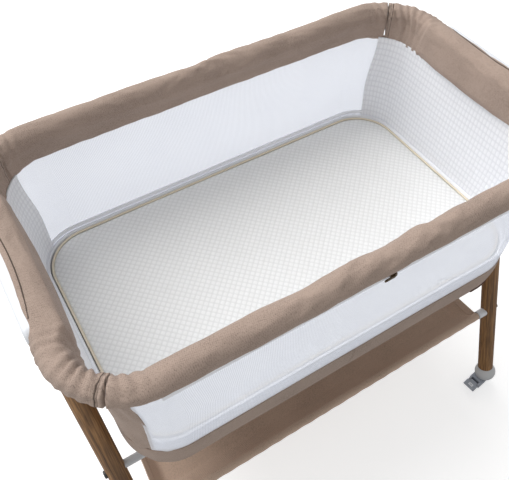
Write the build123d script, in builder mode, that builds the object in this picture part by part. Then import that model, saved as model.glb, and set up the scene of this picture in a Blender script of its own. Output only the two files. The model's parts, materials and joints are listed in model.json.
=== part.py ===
from build123d import *
import os
from math import atan2, cos, degrees, radians, sin

# Bassinet on a wheeled stand. Millimetres. Origin on the floor under the middle of the
# bassinet, +X along its length, +Y to the back, +Z up.

os.makedirs("parts", exist_ok=True)

# ---------------------------------------------------------------- driving dimensions

# top rail: one level ring, drawn on the centreline of its tube
RAIL_X = 460.0
RAIL_Y = 262.0
RAIL_CORNER = 106.0
RAIL_Z = 777.0
RAIL_TUBE_R = 11.0
RAIL_WALL = 1.2
RAIL_SPLIT_GAP = 3.0

# padded fabric sleeve on the rail, with a skirt that hangs inside the bassinet
COVER_R = 20.0
SKIRT_DROP = 48.0
SKIRT_TIP_R = 2.0
SIDE_SKIRT_IN = 6.0
END_SKIRT_IN = 28.0
HUB_SKIRT_IN = 37.0
HUB_PAD_IN = 27.0
HUB_PAD_HALF = 112.0
HUB_PAD_TIP_R = 4.0
SEAM_TURN = 40.0

# shallow oval cut out of each end cover, so that the hub's outer face shows
HEM_OUT = 27.0
HEM_DEEP = 26.0
HEM_HALF_Y = 116.0
HEM_REACH = 60.0

# legs: two A-frames, one at each end, leaning in towards the middle of the end rail
LEG_R = 18.0
LEG_WALL = 1.5
LEG_FOOT_X = 451.0
LEG_FOOT_Y = 332.0
LEG_LEAN_X = 0.013
LEG_LEAN_Y = 0.375
LEG_LOW_Z = 52.0
LEG_TOP_Z = 752.0

# moulded hub at the top of each A-frame
HUB_SPLIT_X = 460.5
HUB_OUT_X = 481.5
HUB_IN_X = 436.0
HUB_HALF_Y = 130.0
HUB_TOP_Z = 794.5
HUB_BEAM = 36.0
HUB_SLEEVE = 46.0
HUB_LOW_Z = 700.0
HUB_ARCH_Z = 740.0
HUB_END_R = 17.0
HUB_WEB = 90.0
HUB_OUT_EDGE = 7.0
HUB_IN_EDGE = 3.0
HUB_SCREW_R = 2.5
HUB_SCREW_HEAD_R = 4.5
HUB_SCREW_Y = 100.0
HUB_SCREW_RISE = 10.0
HUB_SINK = 4.0
HUB_RECESS = 1.0

# tubes across the length of the stand
CROSS_Z = 393.0
CROSS_R = 8.0
ROD_Z = 242.0
ROD_R = 7.0
TUBE_WALL = 1.2
BOLT_R = 3.0
BOLT_HEAD_R = 7.5
BOLT_HEAD_T = 4.0
BOLT_HEAD_EDGE = 2.5
LEG_DRILL = 30.0
INSERT_LENGTH = 24.0

# hammock shelf between the two rods
SHELF_HALF_X = 416.0
SHELF_SLEEVE_R = 9.0
SHELF_RIM_Y = 236.0
SHELF_FLOOR_Z = 206.0
SHELF_FLOOR_X = 392.0
SHELF_FLOOR_Y = 200.0
SHELF_CLOTH = 3.0
SHELF_BOW = 12.0

# swivelling feet, drawn about the vertical swivel axis
BALL_R = 25.0
BALL_Z = 45.0
BALL_FLAT_Z = 34.0
BALL_COLLAR = 17.0
STEM_R = 4.0
STEM_LOW_Z = 22.5
STEM_TOP_Z = 44.0
HOOD_TOP_Z = 33.0
HOOD_HALF_W = 16.0
HOOD_SIDE = [(-15, 33), (31, 33), (38, 30), (41, 26), (39, 21), (31, 9), (5, 9), (-15, 21), (-15, 33)]
HOOD_PLAN_X = 13.0
HOOD_PLAN = (58.0, 32.0)
HOOD_PLAN_R = 10.0
CAVITY_HALF_W = 10.5
CAVITY_GAP = 1.0
STEM_FOOT = 0.5
WHEEL_R = 14.5
WHEEL_DISH_R = 11.0
WHEEL_BOSS_R = 5.0
WHEEL_WEB_HALF = 4.0
WHEEL_HALF_W = 9.0
WHEEL_EDGE = 2.0
WHEEL_TRAIL = 18.0
AXLE_R = 2.5
BRAKE_X = 37.0
BRAKE_Z = 26.0
BRAKE_CAM = 7.4
BRAKE_CAM_TIP_R = 2.0
BRAKE_BARREL_R = 3.8
BRAKE_BARREL_HALF = 9.8
BRAKE_NECK = (8.0, 4.0)
BRAKE_NECK_RISE = 1.8
BRAKE_SLOT = (16.0, 20.0)
BRAKE_SLOT_X = 37.5
BRAKE_PIN_R = 1.8
BRAKE_SWING = 18.0
PEDAL_SIDE = [(43, 25.5), (58, 22.5), (58.5, 25.5), (55, 28), (43, 30.5), (43, 25.5)]
PEDAL_HALF_W = 15.5
CASTER_YAW = 7.0
RUNNING = 0.06

# fabric body: outline half length, half width and corner radius at three heights
BODY_TOP = (726.0, 434.0, 259.0, 100.0)
BODY_MID = (495.0, 421.0, 252.5, 92.0)
BODY_LOW = (420.0, 417.0, 243.0, 88.0)
LINING_TOP = (726.0, 431.0, 256.0, 98.0)
LINING_MID = (495.0, 414.0, 250.0, 86.0)
PANEL_SEAM_X = 388.0
MESH_CLOTH = 1.5
PANEL_CLOTH = 2.0
LINING_CLOTH = 3.0
BAND_CLOTH = 2.5
PANEL_T = 2.0
PANEL_FIT = 0.1
MESH_FROM_Y = 50.0
BODY_REACH = 500.0

# floor of the bassinet
BOARD_Z = 464.8
BOARD_T = 10.0
BOARD_X = 406.0
BOARD_Y = 238.0
RING_Z = 456.5
RING_R = 8.0
RING_X = 402.0
RING_Y = 228.0
RING_CORNER = 80.0
BATTEN_HALF_X = 370.0
BATTEN_W = 20.0
CLIP_X = 250.0
CLIP_L = 40.0
CLIP_W = 26.0
CLIP_CORNER = 5.0
CLIP_UNDER = 5.0
MATTRESS_X = 407.0
MATTRESS_Y = 241.4
MATTRESS_CORNER = 88.0
MATTRESS_T = 54.5
MATTRESS_EDGE = 6.0
MATTRESS_GAP = 0.4

# zip under the front rail
ZIP_HALF_X = 360.0
ZIP_Z = 720.5
ZIP_T = 2.0
ZIP_H = 9.0
ZIP_SEAT = 0.2
SLIDER_X = 30.0
SLIDER_L = 12.0
SLIDER_H = 8.0
SLIDER_TAPER = 82.0
SLIDER_T = 3.6
SLIDER_EDGE = 1.2
SLIDER_RUN = 0.3
PULL_X = 21.0
PULL_L = 22.0
PULL_W = 6.0
PULL_T = 1.6
PULL_HOLE_X = 14.0
PULL_HOLE_R = 1.5

ENDS = {"left": -1, "right": 1}
SIDES = {"front": -1, "back": 1}


# ---------------------------------------------------------------- shared helpers

def save(piece, name):
    """Label a finished piece and write it out."""
    piece.label = name
    export_step(piece, f"parts/{name}.step")


def leg_point(sx, sy, z):
    """A point on a leg's centreline at height z."""
    return Vector(sx * (LEG_FOOT_X + LEG_LEAN_X * z), sy * (LEG_FOOT_Y - LEG_LEAN_Y * z), z)


def leg_plane(sx, sy, z):
    """The plane square to a leg at height z."""
    along = leg_point(sx, sy, LEG_TOP_Z) - leg_point(sx, sy, LEG_LOW_Z)
    return Plane(origin=leg_point(sx, sy, z), z_dir=along.normalized())


def leg_blank(sx, sy, radius):
    """A plain rod on a leg's centreline, for cutting sockets and saddles."""
    length = (leg_point(sx, sy, LEG_TOP_Z) - leg_point(sx, sy, LEG_LOW_Z)).length
    rod = Solid.make_cylinder(radius, length, leg_plane(sx, sy, LEG_LOW_Z))
    return rod


def x_rod(x_from, x_to, y, z, radius):
    """A plain rod along X, for bores and fasteners."""
    start = Plane(origin=(x_from, y, z), z_dir=(x_to - x_from, 0, 0))
    return Solid.make_cylinder(radius, abs(x_to - x_from), start)


def ring_sketch(level, inset):
    """A body outline (height, half length, half width, corner) pulled in by inset."""
    z, half_x, half_y, corner = level
    with BuildSketch(Plane.XY.offset(z)) as outline:
        RectangleRounded(2 * (half_x - inset), 2 * (half_y - inset), corner - inset)
    return outline.sketch


def add_wall(top, low, outer_inset, inner_inset):
    """Inside an open part: a sloping wall that runs all the way round."""
    for inset, mode in ((outer_inset, Mode.ADD), (inner_inset, Mode.SUBTRACT)):
        loft([ring_sketch(low, inset), ring_sketch(top, inset)], ruled=True, mode=mode)


def keep_box(x_from, x_to, y_from, y_to):
    """Inside an open part: keep only what stands in this plan rectangle."""
    with Locations(((x_from + x_to) / 2, (y_from + y_to) / 2, RAIL_Z / 2)):
        Box(x_to - x_from, y_to - y_from, 2 * RAIL_Z, mode=Mode.INTERSECT)


# ---------------------------------------------------------------- stand: legs

LEG_BOLTS = (CROSS_Z, ROD_Z)
HUB_LEG_SCREW_Z = 725.0

for end, sx in ENDS.items():
    for side, sy in SIDES.items():
        length = (leg_point(sx, sy, LEG_TOP_Z) - leg_point(sx, sy, LEG_LOW_Z)).length
        with BuildPart() as leg:
            with BuildSketch(leg_plane(sx, sy, LEG_LOW_Z)):
                Circle(LEG_R)
                Circle(LEG_R - LEG_WALL, mode=Mode.SUBTRACT)
            extrude(amount=length)
            for z in (*LEG_BOLTS, HUB_LEG_SCREW_Z):
                centre = leg_point(sx, sy, z)
                bore = x_rod(centre.X - LEG_DRILL, centre.X + LEG_DRILL, centre.Y, z, BOLT_R)
                add(bore, mode=Mode.SUBTRACT)
        save(leg.part, f"leg_{side}_{end}")


# ---------------------------------------------------------------- stand: hubs

HUB_SCREWS = [(0.0, HUB_ARCH_Z + HUB_SCREW_RISE)]
for sy in SIDES.values():
    HUB_SCREWS.append((sy * HUB_SCREW_Y, RAIL_Z))
    HUB_SCREWS.append((leg_point(1, sy, HUB_LEG_SCREW_Z).Y, HUB_LEG_SCREW_Z))


def hub_outline():
    """The hub seen along X: a beam on the rail with a sleeve down each leg."""
    sleeve_mid_z = (HUB_LOW_Z + RAIL_Z) / 2
    lean = degrees(atan2(LEG_LEAN_Y, 1.0))
    for sy in SIDES.values():
        middle = leg_point(1, sy, sleeve_mid_z)
        with Locations(Location((middle.Y, sleeve_mid_z), sy * lean)):
            Rectangle(HUB_SLEEVE, RAIL_Z - HUB_LOW_Z)
    with Locations((0, HUB_TOP_Z - HUB_BEAM / 2)):
        RectangleRounded(2 * HUB_HALF_Y, HUB_BEAM, HUB_END_R)
    with Locations((0, (HUB_ARCH_Z + RAIL_Z) / 2)):
        Rectangle(HUB_WEB, RAIL_Z - HUB_ARCH_Z)


def hub_solid(sx, x_from, x_to, corner):
    """One half of a hub, between two X stations, with its outer edges rounded."""
    with BuildPart() as blank:
        with BuildSketch(Plane(origin=(sx * x_from, 0, 0), x_dir=(0, 1, 0), z_dir=(1, 0, 0))):
            hub_outline()
        extrude(amount=sx * (x_to - x_from))
        if corner:
            far = blank.faces().sort_by(Axis.X)[-1 if sx * (x_to - x_from) > 0 else 0]
            fillet(far.edges(), corner)
    return blank.part


def rail_path(side):
    """Half of the rail's centreline: a U that opens towards the other half."""
    return FilletPolyline(
        (-RAIL_X, side * RAIL_SPLIT_GAP),
        (-RAIL_X, side * RAIL_Y),
        (RAIL_X, side * RAIL_Y),
        (RAIL_X, side * RAIL_SPLIT_GAP),
        radius=RAIL_CORNER,
    )


SCREW_SEAT_X = HUB_IN_X + HUB_SINK
SCREW_TIP_X = HUB_OUT_X - HUB_OUT_EDGE

for end, sx in ENDS.items():
    bores = [leg_blank(sx, sy, LEG_R) for sy in SIDES.values()]
    rail_bore = Solid.make_cylinder(
        RAIL_TUBE_R, 2 * HUB_HALF_Y, Plane(origin=(sx * RAIL_X, -HUB_HALF_Y, RAIL_Z), z_dir=(0, 1, 0)))
    halves = (
        ("outer", hub_solid(sx, HUB_SPLIT_X, HUB_OUT_X, HUB_OUT_EDGE)),
        ("inner", hub_solid(sx, HUB_SPLIT_X, HUB_IN_X, HUB_IN_EDGE)),
    )
    for half, blank in halves:
        with BuildPart() as hub:
            add(blank)
            add(bores, mode=Mode.SUBTRACT)
            add(rail_bore, mode=Mode.SUBTRACT)
            for y, z in HUB_SCREWS:
                add(x_rod(sx * HUB_IN_X, sx * SCREW_TIP_X, y, z, HUB_SCREW_R), mode=Mode.SUBTRACT)
                add(x_rod(sx * HUB_IN_X, sx * SCREW_SEAT_X, y, z, HUB_SCREW_HEAD_R), mode=Mode.SUBTRACT)
        save(hub.part, f"hub_{half}_{end}")

with BuildPart() as hub_screws:
    for sx in ENDS.values():
        for y, z in HUB_SCREWS:
            add(x_rod(sx * (HUB_IN_X + HUB_RECESS), sx * SCREW_SEAT_X, y, z, HUB_SCREW_HEAD_R))
            add(x_rod(sx * SCREW_SEAT_X, sx * SCREW_TIP_X, y, z, HUB_SCREW_R))
save(hub_screws.part, "hub_screws")


# ---------------------------------------------------------------- bassinet: rail tubes

for side, sy in SIDES.items():
    with BuildPart() as rail:
        with BuildLine(Plane.XY.offset(RAIL_Z)) as path:
            rail_path(sy)
        with BuildSketch(Plane(origin=path.line @ 0, z_dir=path.line % 0)):
            Circle(RAIL_TUBE_R)
            Circle(RAIL_TUBE_R - RAIL_WALL, mode=Mode.SUBTRACT)
        sweep()
        for sx in ENDS.values():
            bore = x_rod(sx * HUB_IN_X, sx * HUB_OUT_X, sy * HUB_SCREW_Y, RAIL_Z, HUB_SCREW_R)
            add(bore, mode=Mode.SUBTRACT)
    save(rail.part, f"rail_tube_{side}")


# ---------------------------------------------------------------- bassinet: rail covers

CORNER_X = RAIL_X - RAIL_CORNER
CORNER_Y = RAIL_Y - RAIL_CORNER


def cover_profile(skirt_in):
    """The sleeve's section: x points into the bassinet, y points up."""
    with BuildSketch() as section:
        Circle(COVER_R)
        with Locations((skirt_in, -SKIRT_DROP)):
            Circle(SKIRT_TIP_R)
        make_hull()
        Circle(RAIL_TUBE_R, mode=Mode.SUBTRACT)
    return section.sketch


def cover_sleeve(facing, skirt_in, turn):
    """One sleeve, run anticlockwise past the side that faces this way (degrees from +X)."""
    out_x, out_y = round(cos(radians(facing))), round(sin(radians(facing)))
    first = ((out_x + out_y) * CORNER_X, (out_y - out_x) * CORNER_Y)
    last = ((out_x - out_y) * CORNER_X, (out_y + out_x) * CORNER_Y)
    step_x, step_y = out_x * RAIL_CORNER, out_y * RAIL_CORNER
    with BuildPart() as sleeve:
        with BuildLine(Plane.XY.offset(RAIL_Z)) as path:
            CenterArc(first, RAIL_CORNER, facing - turn, turn)
            Line((first[0] + step_x, first[1] + step_y), (last[0] + step_x, last[1] + step_y))
            CenterArc(last, RAIL_CORNER, facing, turn)
        start = Vector(
            first[0] + RAIL_CORNER * cos(radians(facing - turn)),
            first[1] + RAIL_CORNER * sin(radians(facing - turn)),
            RAIL_Z)
        inward = Vector(-cos(radians(facing - turn)), -sin(radians(facing - turn)), 0)
        with BuildSketch(Plane(origin=start, x_dir=inward, z_dir=inward.cross(Vector(0, 0, 1)))):
            add(cover_profile(skirt_in))
        sweep()
    return sleeve.part


for side, sy in SIDES.items():
    with BuildPart() as cover:
        add(cover_sleeve(sy * 90.0, SIDE_SKIRT_IN, SEAM_TURN))
    save(cover.part, f"rail_cover_{side}")

for end, sx in ENDS.items():
    hub_room = hub_solid(sx, HUB_OUT_X + COVER_R, HUB_IN_X, 0)
    pad_start = Plane(origin=(sx * RAIL_X, -sx * HUB_PAD_HALF, RAIL_Z), x_dir=(-sx, 0, 0), z_dir=(0, sx, 0))
    with BuildPart() as cover:
        add(cover_sleeve(90.0 - sx * 90.0, END_SKIRT_IN, 90.0 - SEAM_TURN))
        with BuildSketch(pad_start):
            Circle(COVER_R)
            with Locations((HUB_PAD_IN, 0)):
                Circle(HUB_PAD_TIP_R)
            with Locations((HUB_SKIRT_IN, -SKIRT_DROP)):
                Circle(SKIRT_TIP_R)
            make_hull()
            Circle(RAIL_TUBE_R, mode=Mode.SUBTRACT)
        extrude(amount=2 * HUB_PAD_HALF)
        add(hub_room, mode=Mode.SUBTRACT)
        with BuildSketch(Plane.XY.offset(RAIL_Z)):
            with Locations((sx * (RAIL_X + HEM_OUT), 0)):
                Ellipse(HEM_DEEP, HEM_HALF_Y)
        extrude(amount=HEM_REACH, both=True, mode=Mode.SUBTRACT)
    save(cover.part, f"rail_cover_{end}")


# ---------------------------------------------------------------- stand: cross tubes and rods

def x_tube(y, z, half_length, radius):
    """Inside an open part: a tube along X, centred on the stand."""
    with BuildSketch(Plane(origin=(-half_length, y, z), z_dir=(1, 0, 0))) as section:
        Circle(radius)
        Circle(radius - TUBE_WALL, mode=Mode.SUBTRACT)
    extrude(section.sketch, amount=2 * half_length)


ROD_HALF_X = 428.0
CAP_LOW_X = 417.0
CAP_R = 10.0

for side, sy in SIDES.items():
    cross_y = leg_point(1, sy, CROSS_Z).Y
    with BuildPart() as cross_tube:
        x_tube(cross_y, CROSS_Z, leg_point(1, sy, CROSS_Z).X, CROSS_R)
        for sx in ENDS.values():
            add(leg_blank(sx, sy, LEG_R), mode=Mode.SUBTRACT)
    save(cross_tube.part, f"cross_tube_{side}")

    with BuildPart() as shelf_rod:
        x_tube(leg_point(1, sy, ROD_Z).Y, ROD_Z, ROD_HALF_X, ROD_R)
    save(shelf_rod.part, f"shelf_rod_{side}")

with BuildPart() as rod_caps:
    for sx in ENDS.values():
        for sy in SIDES.values():
            seat = leg_point(sx, sy, ROD_Z)
            add(x_rod(sx * CAP_LOW_X, seat.X, seat.Y, ROD_Z, CAP_R))
            add(leg_blank(sx, sy, LEG_R), mode=Mode.SUBTRACT)
            add(x_rod(sx * CAP_LOW_X, sx * ROD_HALF_X, seat.Y, ROD_Z, ROD_R), mode=Mode.SUBTRACT)
            add(x_rod(sx * CAP_LOW_X, seat.X, seat.Y, ROD_Z, BOLT_R), mode=Mode.SUBTRACT)
save(rod_caps.part, "shelf_rod_caps")

INSERT_OUT_X = 425.0

with BuildPart() as tube_inserts:
    for sx in ENDS.values():
        for sy in SIDES.values():
            for z, radius in ((CROSS_Z, CROSS_R), (ROD_Z, ROD_R)):
                y = leg_point(sx, sy, z).Y
                inner = sx * (INSERT_OUT_X - INSERT_LENGTH)
                add(x_rod(inner, sx * INSERT_OUT_X, y, z, radius - TUBE_WALL))
                add(x_rod(inner, sx * INSERT_OUT_X, y, z, BOLT_R), mode=Mode.SUBTRACT)
save(tube_inserts.part, "tube_inserts")

BOLT_SEATS = [leg_point(sx, sy, z) for sx in ENDS.values() for sy in SIDES.values() for z in LEG_BOLTS]


def bolt_out(seat):
    """+1 or -1: the way a bolt's head faces."""
    return 1 if seat.X > 0 else -1


with BuildPart() as frame_bolts:
    for seat in BOLT_SEATS:
        head_x = seat.X + bolt_out(seat) * (LEG_R + BOLT_HEAD_T)
        add(x_rod(seat.X, head_x, seat.Y, seat.Z, BOLT_HEAD_R))
    fillet(frame_bolts.faces().filter_by(Axis.X).group_by(SortBy.DISTANCE)[-1].edges(), BOLT_HEAD_EDGE)
    for sx in ENDS.values():
        for sy in SIDES.values():
            add(leg_blank(sx, sy, LEG_R), mode=Mode.SUBTRACT)
    for seat in BOLT_SEATS:
        tip = bolt_out(seat) * (INSERT_OUT_X - INSERT_LENGTH)
        add(x_rod(tip, seat.X + bolt_out(seat) * (LEG_R + 1), seat.Y, seat.Z, BOLT_R))
save(frame_bolts.part, "frame_bolts")


# ---------------------------------------------------------------- stand: hammock shelf

def shelf_sketch(z, half_x, half_y, bow):
    """The shelf's outline at one height, its ends bowed in between the rods."""
    with BuildSketch(Plane.XY.offset(z)) as outline:
        with BuildLine():
            Line((-half_x, -half_y), (half_x, -half_y))
            ThreePointArc((half_x, -half_y), (half_x - bow, 0), (half_x, half_y))
            Line((half_x, half_y), (-half_x, half_y))
            ThreePointArc((-half_x, half_y), (-half_x + bow, 0), (-half_x, -half_y))
        make_face()
    return outline.sketch


SHELF_RIM_Z = ROD_Z + 2.0

with BuildPart() as storage_shelf:
    for lift, inset, mode in ((0.0, 0.0, Mode.ADD), (SHELF_CLOTH, SHELF_CLOTH, Mode.SUBTRACT)):
        low = shelf_sketch(SHELF_FLOOR_Z + lift, SHELF_FLOOR_X - inset, SHELF_FLOOR_Y - inset, SHELF_BOW)
        rim = shelf_sketch(SHELF_RIM_Z, SHELF_HALF_X - inset, SHELF_RIM_Y - inset, SHELF_BOW)
        loft([low, rim], ruled=True, mode=mode)
    for sy in SIDES.values():
        y = leg_point(1, sy, ROD_Z).Y
        add(x_rod(-SHELF_HALF_X, SHELF_HALF_X, y, ROD_Z, SHELF_SLEEVE_R))
    for sy in SIDES.values():
        y = leg_point(1, sy, ROD_Z).Y
        add(x_rod(-SHELF_HALF_X, SHELF_HALF_X, y, ROD_Z, ROD_R), mode=Mode.SUBTRACT)
save(storage_shelf.part, "storage_shelf")


# ---------------------------------------------------------------- stand: collars and casters

def caster_planes(sx, sy):
    """Plan plane and side plane of a caster; x trails from the swivel axis."""
    axis = leg_point(sx, sy, BALL_Z)
    trail = Vector(-sx * cos(radians(CASTER_YAW)), sy * sin(radians(CASTER_YAW)), 0)
    foot = Vector(axis.X, axis.Y, 0)
    plan = Plane(origin=foot, x_dir=trail, z_dir=(0, 0, 1))
    upright = Plane(origin=foot, x_dir=trail, z_dir=trail.cross(Vector(0, 0, 1)))
    return plan, upright


def foot_collar(sx, sy):
    """Moulded ball that joins a leaning leg to an upright swivel stem."""
    axis = leg_point(sx, sy, BALL_Z)
    with BuildPart() as collar:
        with Locations(axis):
            Sphere(BALL_R)
        split(bisect_by=Plane.XY.offset(BALL_FLAT_Z), keep=Keep.TOP)
        split(bisect_by=leg_plane(sx, sy, BALL_Z).offset(BALL_COLLAR), keep=Keep.BOTTOM)
        add(leg_blank(sx, sy, LEG_R), mode=Mode.SUBTRACT)
        add(stem_rod(sx, sy, STEM_R, BALL_FLAT_Z, STEM_TOP_Z), mode=Mode.SUBTRACT)
    return collar.part


def stem_rod(sx, sy, radius, z_from, z_to):
    """A plain upright rod on a caster's swivel axis."""
    axis = leg_point(sx, sy, BALL_Z)
    return Solid.make_cylinder(radius, z_to - z_from, Plane(origin=(axis.X, axis.Y, z_from)))


def caster_hood(sx, sy):
    """Housing over the wheel, with a swivel bore in front and brake ears behind."""
    plan, upright = caster_planes(sx, sy)
    with BuildPart() as hood:
        with BuildSketch(upright):
            with BuildLine():
                Polyline(*HOOD_SIDE)
            make_face()
        extrude(amount=HOOD_HALF_W, both=True)
        with BuildSketch(plan):
            with Locations((HOOD_PLAN_X, 0)):
                RectangleRounded(*HOOD_PLAN, HOOD_PLAN_R)
        extrude(amount=HOOD_TOP_Z, mode=Mode.INTERSECT)
        with BuildSketch(upright):
            with Locations((WHEEL_TRAIL, WHEEL_R)):
                Circle(WHEEL_R + CAVITY_GAP)
            with Locations((WHEEL_TRAIL, 0)):
                Rectangle(2 * (WHEEL_R + CAVITY_GAP), 2 * WHEEL_R)
            with Locations((BRAKE_SLOT_X, BRAKE_Z)):
                Rectangle(*BRAKE_SLOT)
        extrude(amount=CAVITY_HALF_W, both=True, mode=Mode.SUBTRACT)
        with BuildSketch(upright):
            with Locations((WHEEL_TRAIL, WHEEL_R)):
                Circle(AXLE_R)
            with Locations((BRAKE_X, BRAKE_Z)):
                Circle(BRAKE_PIN_R)
        extrude(amount=HOOD_HALF_W, both=True, mode=Mode.SUBTRACT)
        stem_bore = stem_rod(sx, sy, STEM_R + RUNNING, STEM_LOW_Z - STEM_FOOT, BALL_FLAT_Z)
        add(stem_bore, mode=Mode.SUBTRACT)
    return hood.part


def brake_lever(sx, sy):
    """Foot pedal with a barrel on its pin and a cam that bears on the tyre."""
    upright = caster_planes(sx, sy)[1]
    cam_turn = degrees(atan2(WHEEL_R - BRAKE_Z, WHEEL_TRAIL - BRAKE_X)) + BRAKE_SWING
    cam_x = BRAKE_X + (BRAKE_CAM - BRAKE_CAM_TIP_R) * cos(radians(cam_turn))
    cam_z = BRAKE_Z + (BRAKE_CAM - BRAKE_CAM_TIP_R) * sin(radians(cam_turn))
    with BuildPart() as lever:
        with BuildSketch(upright):
            with Locations((BRAKE_X, BRAKE_Z)):
                Circle(BRAKE_BARREL_R)
            with Locations((cam_x, cam_z)):
                Circle(BRAKE_CAM_TIP_R)
            make_hull()
            with Locations((BRAKE_X + BRAKE_NECK[0] / 2, BRAKE_Z + BRAKE_NECK_RISE)):
                Rectangle(*BRAKE_NECK)
        extrude(amount=BRAKE_BARREL_HALF, both=True)
        with BuildSketch(upright):
            with BuildLine():
                Polyline(*PEDAL_SIDE)
            make_face()
        extrude(amount=PEDAL_HALF_W, both=True)
        with BuildSketch(upright):
            with Locations((BRAKE_X, BRAKE_Z)):
                Circle(BRAKE_PIN_R + RUNNING)
        extrude(amount=HOOD_HALF_W, both=True, mode=Mode.SUBTRACT)
    return lever.part


def caster_wheel(sx, sy):
    """One-piece wheel: rounded tread, a dished web on each side and a plain bore."""
    upright = caster_planes(sx, sy)[1]
    with BuildPart() as wheel:
        with BuildSketch(upright):
            with Locations((WHEEL_TRAIL, WHEEL_R)):
                Circle(WHEEL_R)
        extrude(amount=WHEEL_HALF_W, both=True)
        fillet(wheel.edges(), WHEEL_EDGE)
        for face in (1, -1):
            with BuildSketch(upright.offset(face * WHEEL_WEB_HALF)):
                with Locations((WHEEL_TRAIL, WHEEL_R)):
                    Circle(WHEEL_DISH_R)
                    Circle(WHEEL_BOSS_R, mode=Mode.SUBTRACT)
            extrude(amount=face * WHEEL_HALF_W, mode=Mode.SUBTRACT)
        with BuildSketch(upright):
            with Locations((WHEEL_TRAIL, WHEEL_R)):
                Circle(AXLE_R + RUNNING)
        extrude(amount=WHEEL_HALF_W, both=True, mode=Mode.SUBTRACT)
    return wheel.part


def cross_pin(sx, sy, x, z, radius, half_width):
    """A plain pin across a caster, centred at x along its trail and height z."""
    upright = caster_planes(sx, sy)[1]
    with BuildPart() as pin:
        with BuildSketch(upright):
            with Locations((x, z)):
                Circle(radius)
        extrude(amount=half_width, both=True)
    return pin.part


with BuildPart() as swivel_stems:
    for sx in ENDS.values():
        for sy in SIDES.values():
            add(stem_rod(sx, sy, STEM_R, STEM_LOW_Z, STEM_TOP_Z))
save(swivel_stems.part, "swivel_stems")

for end, sx in ENDS.items():
    for side, sy in SIDES.items():
        corner = f"{side}_{end}"
        save(foot_collar(sx, sy), f"foot_collar_{corner}")
        save(caster_hood(sx, sy), f"caster_hood_{corner}")
        save(brake_lever(sx, sy), f"brake_lever_{corner}")
        save(caster_wheel(sx, sy), f"caster_wheel_{corner}")
        with BuildPart() as pins:
            add(cross_pin(sx, sy, WHEEL_TRAIL, WHEEL_R, AXLE_R, HOOD_HALF_W))
            add(cross_pin(sx, sy, BRAKE_X, BRAKE_Z, BRAKE_PIN_R, HOOD_HALF_W - CAVITY_GAP))
        save(pins.part, f"caster_pins_{corner}")


# ---------------------------------------------------------------- bassinet: fabric walls

for side, sy in SIDES.items():
    with BuildPart() as mesh:
        add_wall(BODY_TOP, BODY_MID, 0, MESH_CLOTH)
        keep_box(-PANEL_SEAM_X, PANEL_SEAM_X, *sorted((sy * MESH_FROM_Y, sy * BODY_REACH)))
    save(mesh.part, f"mesh_{side}")

for end, sx in ENDS.items():
    span = sorted((sx * PANEL_SEAM_X, sx * BODY_REACH))
    with BuildPart() as end_panel:
        add_wall(BODY_TOP, BODY_MID, 0, PANEL_CLOTH)
        keep_box(*span, -BODY_REACH, BODY_REACH)
    save(end_panel.part, f"end_panel_{end}")

    with BuildPart() as end_lining:
        add_wall(LINING_TOP, LINING_MID, 0, LINING_CLOTH)
        keep_box(*span, -BODY_REACH, BODY_REACH)
    save(end_lining.part, f"end_lining_{end}")

with BuildPart() as bottom_band:
    add_wall(BODY_MID, BODY_LOW, 0, BAND_CLOTH)
save(bottom_band.part, "bottom_band")

with BuildPart() as bottom_panel:
    extrude(ring_sketch(BODY_LOW, BAND_CLOTH + PANEL_FIT), amount=PANEL_T)
save(bottom_panel.part, "bottom_panel")


# ---------------------------------------------------------------- bassinet: floor and mattress

ring_path = ring_sketch((RING_Z, RING_X, RING_Y, RING_CORNER), 0).face().outer_wire()

with BuildPart() as lower_ring:
    with BuildSketch(Plane(origin=ring_path @ 0, z_dir=ring_path % 0)):
        Circle(RING_R)
        Circle(RING_R - TUBE_WALL, mode=Mode.SUBTRACT)
    sweep(path=ring_path)
save(lower_ring.part, "lower_ring")

with BuildPart() as base_board:
    extrude(ring_sketch((BOARD_Z, BOARD_X, BOARD_Y, RING_CORNER), 0), amount=BOARD_T)
save(base_board.part, "base_board")

PANEL_TOP_Z = BODY_LOW[0] + PANEL_T
BATTEN_Y = leg_point(1, 1, CROSS_Z).Y

with BuildPart() as base_battens:
    with BuildSketch(Plane.XY.offset(PANEL_TOP_Z)):
        with Locations((0, -BATTEN_Y), (0, BATTEN_Y)):
            Rectangle(2 * BATTEN_HALF_X, BATTEN_W)
    extrude(amount=BOARD_Z - PANEL_TOP_Z)
save(base_battens.part, "base_battens")

CLIP_LOW_Z = CROSS_Z - CLIP_UNDER

with BuildPart() as support_clips:
    with BuildSketch(Plane.XY.offset(CLIP_LOW_Z)):
        with GridLocations(2 * CLIP_X, 2 * BATTEN_Y, 2, 2):
            RectangleRounded(CLIP_L, CLIP_W, CLIP_CORNER)
    extrude(amount=BODY_LOW[0] - CLIP_LOW_Z)
    for sy in SIDES.values():
        add(x_rod(-BATTEN_HALF_X, BATTEN_HALF_X, sy * BATTEN_Y, CROSS_Z, CROSS_R), mode=Mode.SUBTRACT)
save(support_clips.part, "support_clips")

MATTRESS_Z = BOARD_Z + BOARD_T + MATTRESS_GAP

with BuildPart() as mattress:
    extrude(ring_sketch((MATTRESS_Z, MATTRESS_X, MATTRESS_Y, MATTRESS_CORNER), 0), amount=MATTRESS_T)
    fillet(mattress.faces().sort_by(Axis.Z)[-1].edges(), MATTRESS_EDGE)
save(mattress.part, "mattress")


# ---------------------------------------------------------------- bassinet: zip

ZIP_FACE_Y = -BODY_TOP[2] - ZIP_SEAT

with BuildPart() as zip_chain:
    with BuildSketch(Plane.XY.offset(ZIP_Z - ZIP_H / 2)):
        with Locations((0, ZIP_FACE_Y - ZIP_T / 2)):
            Rectangle(2 * ZIP_HALF_X, ZIP_T)
    extrude(amount=ZIP_H)
save(zip_chain.part, "zip_chain")

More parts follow.
